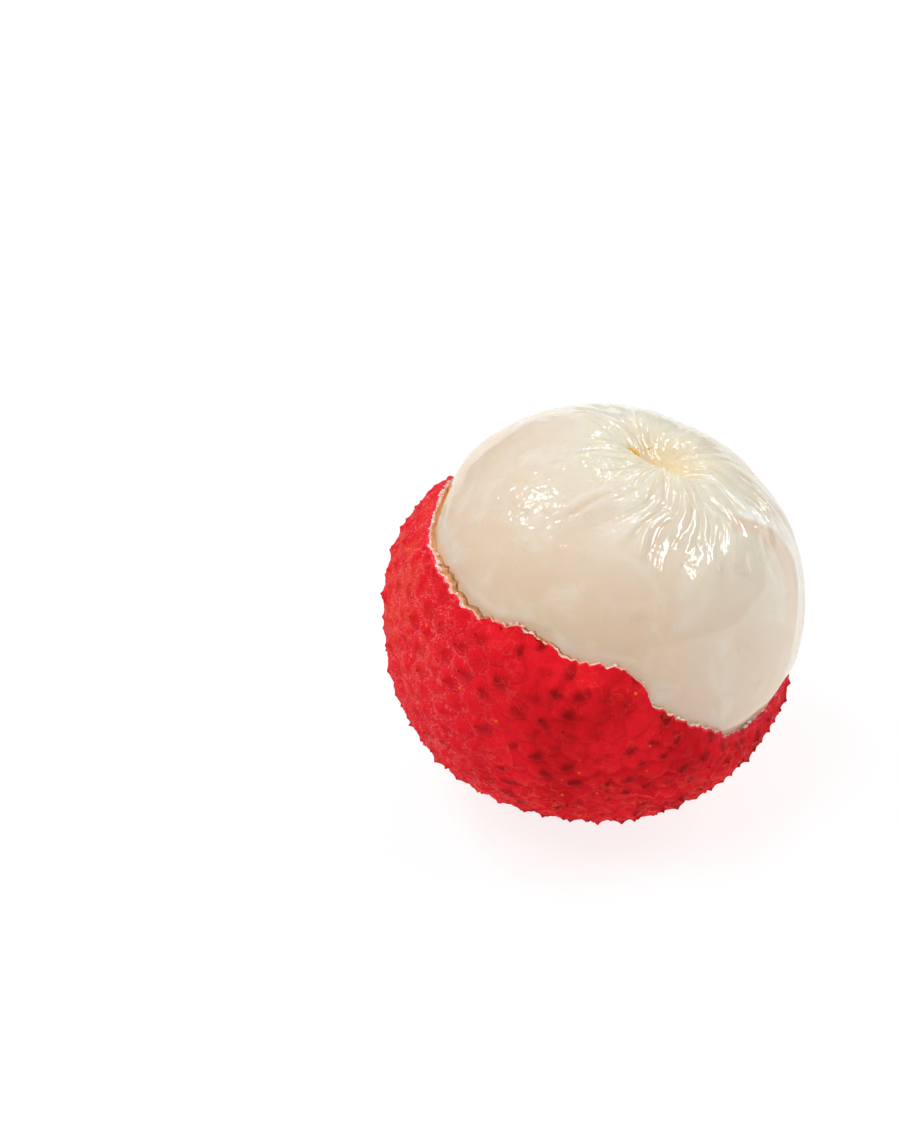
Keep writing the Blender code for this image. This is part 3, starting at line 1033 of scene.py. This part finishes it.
def fleshMaterial():
    made, tree, shader = newMaterial("lycheeFlesh")
    place, flow = inMillimetres(tree), attribute(tree, "flow", "Vector")
    bare, sunk, folded = (attribute(tree, name) for name in ("bare", "sunk", "folded"))
    wet = bumpFrom(tree, wetHeight(tree, place, flow, sunk, folded), fleshFinish["bump"])
    slant = tree.nodes.new("ShaderNodeLayerWeight")
    slant.inputs["Blend"].default_value = 0.5
    coat = ramp(tree, slant.outputs["Facing"], 0.45, 0.95, 1.0, 0.1)
    reaches, reach = fleshFinish["subsurface"]
    fillIn(tree, shader, {
        "Base Color": fleshColour(tree, place, flow, bare, sunk, folded),
        "Roughness": between(tree, patches(tree, 0.5, 0.4, 0.7), *fleshFinish["roughness"]),
        "IOR": fleshFinish["ior"],
        "Specular IOR Level": fleshFinish["gloss"],
        "Coat Weight": times(tree, coat, ramp(tree, sunk, 0.45, 0.85, 1.0, 0.06)),
        "Coat Roughness": fleshFinish["coatRoughness"],
        "Normal": wet,
        "Coat Normal": wet,
        "Subsurface Weight": ramp(tree, bare, *fleshFinish["rimSubsurface"]),
        "Subsurface Radius": reaches,
        "Subsurface Scale": reach,
    })
    return made


fibreFinish = {
    "light": colour(255, 228, 96),
    "dark": colour(250, 180, 48),
    "roughness": 0.45,
    "bump": 0.02 * mm,
}


def fibreMaterial():
    made, tree, shader = newMaterial("stemFibre")
    shade = ramp(tree, attribute(tree, "tint"), 0.1, 0.9)
    base = blend(tree, shade, fibreFinish["light"], fibreFinish["dark"])
    base = blend(tree, times(tree, patches(tree, 5.0, 0.4, 0.6), 0.5), base, fibreFinish["dark"])
    fillIn(tree, shader, {
        "Base Color": base,
        "Roughness": fibreFinish["roughness"],
        "Normal": bumpFrom(tree, noiseValue(tree, inMillimetres(tree), 12.0), fibreFinish["bump"]),
    })
    return made


rind.data.materials.append(rindMaterial())
flesh.data.materials.append(fleshMaterial())
fibres.data.materials.append(fibreMaterial())

for piece, node in ((rind, "rind"), (flesh, "flesh"), (fibres, None)):
    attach(piece, "root")
    if node:
        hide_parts(node)

print("stage")
stage = {
    "floorSize": 6.0,
    "floor": colour(130, 130, 130),
    "floorGlow": 0.83,
    "worldLight": 0.32,
    "lens": 100.0,
    "elevation": 35.0,
    "frameHeight": 98.2 * mm,  # what the camera takes in at the fruit
    "fruitRight": 12.4 * mm,  # where the fruit's middle stands in the frame
    "fruitDown": 4.15 * mm,
    "sensor": 36.0,
    # each lamp's place, width, height and power, whether gloss mirrors it, and which way its height runs
    "lamps": {
        "softLight": ((-0.42, -0.25, 0.8), 0.5, 0.5, 4.0, False, (0, 0, 1)),
        "window": ((-0.34, 0.15, 0.62), 0.12, 0.17, 0.8, True, (0, 0, 1)),
        "rightWindow": ((0.45, 0.03, 0.55), 0.1, 0.4, 1.5, True, (0.37, -0.9, -0.36)),
        "topWindow": ((0.014, 0.33, 0.63), 0.07, 0.1, 0.22, True, (0, 0, 1)),
        "farWindow": ((0.09, 0.64, 0.53), 0.085, 0.1, 0.28, True, (0, 0, 1)),
        "backWindow": ((0.55, 0.48, 0.1), 0.1, 0.1, 0.2, True, (0, 0, 1)),
    },
}


def makeFloor():
    deselectAll()
    bpy.ops.mesh.primitive_plane_add(size=stage["floorSize"], location=(0, 0, 0))
    floor = bpy.context.object
    floor.name = "floor"
    made, tree, shader = newMaterial("paleFloor")
    fillIn(tree, shader, {
        "Base Color": stage["floor"],
        "Roughness": 0.8,
        "Specular IOR Level": 0.2,
        "Emission Color": (1, 1, 1, 1),
        "Emission Strength": stage["floorGlow"],
    })
    floor.data.materials.append(made)


def addLamp(name, place, width, height, power, mirrored, longWay):
    data = bpy.data.lights.new(name, "AREA")
    data.energy = power
    data.shape = "RECTANGLE"
    data.size = width
    data.size_y = height
    lamp = bpy.data.objects.new(name, data)
    lamp.visible_glossy = mirrored
    back = (Vector(place) - centre).normalized()
    side = Vector(longWay).cross(back).normalized()
    turned = Matrix((side, back.cross(side), back)).transposed().to_4x4()
    lamp.matrix_world = Matrix.Translation(place) @ turned
    bpy.context.scene.collection.objects.link(lamp)


def addCamera():
    tilt = math.radians(stage["elevation"])
    right = Vector((1, 0, 0))
    up = Vector((0, math.sin(tilt), math.cos(tilt)))
    toward = Vector((0, -math.cos(tilt), math.sin(tilt)))
    data = bpy.data.cameras.new("camera")
    data.lens = stage["lens"]
    data.sensor_width = stage["sensor"]
    distance = stage["frameHeight"] * data.lens / data.sensor_width
    place = centre - right * stage["fruitRight"] + up * stage["fruitDown"] + toward * distance
    camera = bpy.data.objects.new("camera", data)
    camera.matrix_world = Matrix.Translation(place) @ Matrix((right, up, toward)).transposed().to_4x4()
    bpy.context.scene.collection.objects.link(camera)
    bpy.context.scene.camera = camera


makeFloor()
for name, settings in stage["lamps"].items():
    addLamp(name, *settings)
addCamera()
world = bpy.data.worlds.new("studio")
world.use_nodes = True
background = world.node_tree.nodes["Background"]
background.inputs["Color"].default_value = (1, 1, 1, 1)
background.inputs["Strength"].default_value = stage["worldLight"]
bpy.context.scene.world = world
bpy.context.scene.view_settings.view_transform = "Standard"

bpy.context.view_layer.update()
for piece in (rind, flesh, fibres):
    print(piece.name, "triangles", sum(len(face.vertices) - 2 for face in piece.data.polygons))
